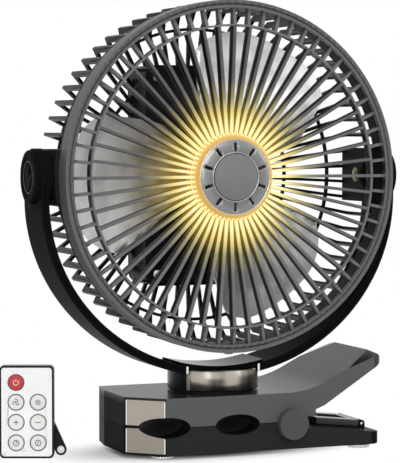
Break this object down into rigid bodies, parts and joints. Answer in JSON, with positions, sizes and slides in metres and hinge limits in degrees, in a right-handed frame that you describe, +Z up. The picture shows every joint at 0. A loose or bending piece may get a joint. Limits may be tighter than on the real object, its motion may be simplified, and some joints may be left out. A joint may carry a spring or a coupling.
{
  "type": "clip-on fan",
  "caption": "Clip-on fan: round grille with a lit hub, battery box behind, U-shaped tilting yoke on a swivel neck, sprung clip base with fold-out hook, and a separate hand remote.",
  "frame": {"origin": "on the table, straight under the neck's swivel axis", "axes": "+Z up; the fan blows towards -Y; the clip's nose points to -X and its squeeze handle to +X; the tilt axis lies along X"},
  "size_m": [0.2711, 0.0938, 0.2954],
  "materials": {
    "charcoal_plastic": "satin moulded",
    "grille_plastic": "satin moulded",
    "black_plastic": "fine texture",
    "gloss_black": "gloss",
    "grey_plastic": "satin",
    "jaw_top_plastic": "satin",
    "jaw_low_plastic": "satin",
    "silver_plastic": "metallic grey",
    "badge_plastic": "satin",
    "blade_plastic": "translucent silver grey",
    "light_lens": "frosted, lit warm",
    "light_chip": "lit",
    "champagne": "brushed, champagne",
    "bright_trim": "polished",
    "steel": "plain zinc plated",
    "spring_steel": "oiled",
    "bronze": "sintered",
    "motor_metal": "plated",
    "cell_wrap": "shrink wrap over the can",
    "board_green": "solder mask",
    "rubber": "matt",
    "smoked_window": "diffusing",
    "foot_metal": "knurled",
    "remote_white": "satin",
    "red_key": "satin",
    "key_grey": "matt"
  },
  "bodies": {
    "clip_base": {"lower_jaw": "jaw_low_plastic", "base_plate": "black_plastic", "feet": "foot_metal", "base_screws": "steel", "lower_grip_pad": "rubber", "lower_corner_panel": "champagne", "clip_pins": "steel", "hinge_caps": "grey_plastic"},
    "clip_handle": {"upper_jaw": "jaw_top_plastic", "upper_grip_pad": "rubber", "upper_corner_panel": "champagne", "jaw_spring": "spring_steel", "swivel_bolt": "steel", "swivel_nut": "steel", "neck_washer": "black_plastic"},
    "neck": {"yoke": "charcoal_plastic", "yoke_pad": "gloss_black", "neck_collar": "champagne", "collar_trims": "bright_trim", "pivot_screws": "steel", "friction_washers": "black_plastic", "pivot_caps": "charcoal_plastic"},
    "head": {"front_grille": "grille_plastic", "rim_screw": "steel", "light_board": "board_green", "light_chips": "light_chip", "light_diffuser": "light_lens", "hub_cap": "silver_plastic", "hub_badge": "badge_plastic", "rear_grille": "charcoal_plastic", "rear_cover": "charcoal_plastic", "cover_screws": "steel", "battery_cells": "cell_wrap", "control_board": "board_green", "charge_window": "smoked_window", "power_ports": "steel", "motor_plate": "steel", "motor_screws": "steel", "motor_can": "motor_metal", "motor_bearings": "steel", "pivot_bushes": "bronze"},
    "rotor": {"motor_shaft": "steel", "blade_nut": "gloss_black", "fan_blade": "blade_plastic"},
    "speed_key": {"speed_key": "key_grey"},
    "light_key": {"light_key": "key_grey"},
    "port_flap": {"port_flap": "rubber"},
    "hang_hook": {"hang_hook": "black_plastic"},
    "remote": {"remote_case": "black_plastic", "remote_face": "remote_white", "remote_board": "board_green"},
    "remote_tray": {"remote_tray": "black_plastic"},
    "remote_tab": {"remote_tab": "black_plastic"},
    "remote_key_power": {"remote_key_power": "red_key"},
    "remote_key_fan": {"remote_key_fan": "key_grey"},
    "remote_key_light": {"remote_key_light": "key_grey"},
    "remote_key_speed_up": {"remote_key_speed_up": "key_grey"},
    "remote_key_speed_down": {"remote_key_speed_down": "key_grey"},
    "remote_key_timer_short": {"remote_key_timer_short": "key_grey"},
    "remote_key_timer_long": {"remote_key_timer_long": "key_grey"}
  },
  "joints": [
    {"name": "jaw_hinge", "type": "hinge", "parent": "clip_base", "child": "clip_handle", "pos_m": [0.0394, 0, 0.0198], "axis": [0, 1, 0], "range_deg": [0, 20], "stiffness_Nm_per_rad": 1.5, "springref_deg": -40.11},
    {"name": "neck_swivel", "type": "hinge", "parent": "clip_handle", "child": "neck", "pos_m": [0, 0, 0.045], "axis": [0, 0, 1], "continuous": true},
    {"name": "head_tilt", "type": "hinge", "parent": "neck", "child": "head", "pos_m": [0, 0, 0.18145], "axis": [1, 0, 0], "range_deg": [-90, 90]},
    {"name": "fan_spin", "type": "hinge", "parent": "head", "child": "rotor", "pos_m": [0, 0, 0.18145], "axis": [0, 1, 0], "continuous": true},
    {"name": "speed_press", "type": "slide", "parent": "head", "child": "speed_key", "axis": [0, -1, 0], "range_m": [0, 0.0008], "stiffness_N_per_m": 1500},
    {"name": "light_press", "type": "slide", "parent": "head", "child": "light_key", "axis": [0, -1, 0], "range_m": [0, 0.0008], "stiffness_N_per_m": 1500},
    {"name": "flap_hinge", "type": "hinge", "parent": "head", "child": "port_flap", "pos_m": [0, 0.04525, 0.1976], "axis": [-1, 0, 0], "range_deg": [0, 100]},
    {"name": "hook_fold", "type": "hinge", "parent": "clip_base", "child": "hang_hook", "pos_m": [0.1015, 0, 0.01379], "axis": [0, 1, 0], "range_deg": [0, 170]},
    {"name": "remote_lift", "type": "slide", "parent": "clip_base", "child": "remote", "axis": [0, 0, 1], "range_m": [0, 0.05]},
    {"name": "tray_slide", "type": "slide", "parent": "remote", "child": "remote_tray", "axis": [-0.9311, 0.3649, 0], "range_m": [0, 0.024]},
    {"name": "tab_swing", "type": "hinge", "parent": "remote", "child": "remote_tab", "pos_m": [-0.1114, 0.0073, 0.0219], "axis": [-0.3649, -0.9311, 0], "range_deg": [0, 156]},
    {"name": "remote_press_power", "type": "slide", "parent": "remote", "child": "remote_key_power", "axis": [0.3649, 0.9311, 0], "range_m": [0, 0.0005], "stiffness_N_per_m": 1500},
    {"name": "remote_press_fan", "type": "slide", "parent": "remote", "child": "remote_key_fan", "axis": [0.3649, 0.9311, 0], "range_m": [0, 0.0005], "stiffness_N_per_m": 1500},
    {"name": "remote_press_light", "type": "slide", "parent": "remote", "child": "remote_key_light", "axis": [0.3649, 0.9311, 0], "range_m": [0, 0.0005], "stiffness_N_per_m": 1500},
    {"name": "remote_press_speed_up", "type": "slide", "parent": "remote", "child": "remote_key_speed_up", "axis": [0.3649, 0.9311, 0], "range_m": [0, 0.0005], "stiffness_N_per_m": 1500},
    {"name": "remote_press_speed_down", "type": "slide", "parent": "remote", "child": "remote_key_speed_down", "axis": [0.3649, 0.9311, 0], "range_m": [0, 0.0005], "stiffness_N_per_m": 1500},
    {"name": "remote_press_timer_short", "type": "slide", "parent": "remote", "child": "remote_key_timer_short", "axis": [0.3649, 0.9311, 0], "range_m": [0, 0.0005], "stiffness_N_per_m": 1500},
    {"name": "remote_press_timer_long", "type": "slide", "parent": "remote", "child": "remote_key_timer_long", "axis": [0.3649, 0.9311, 0], "range_m": [0, 0.0005], "stiffness_N_per_m": 1500}
  ]
}
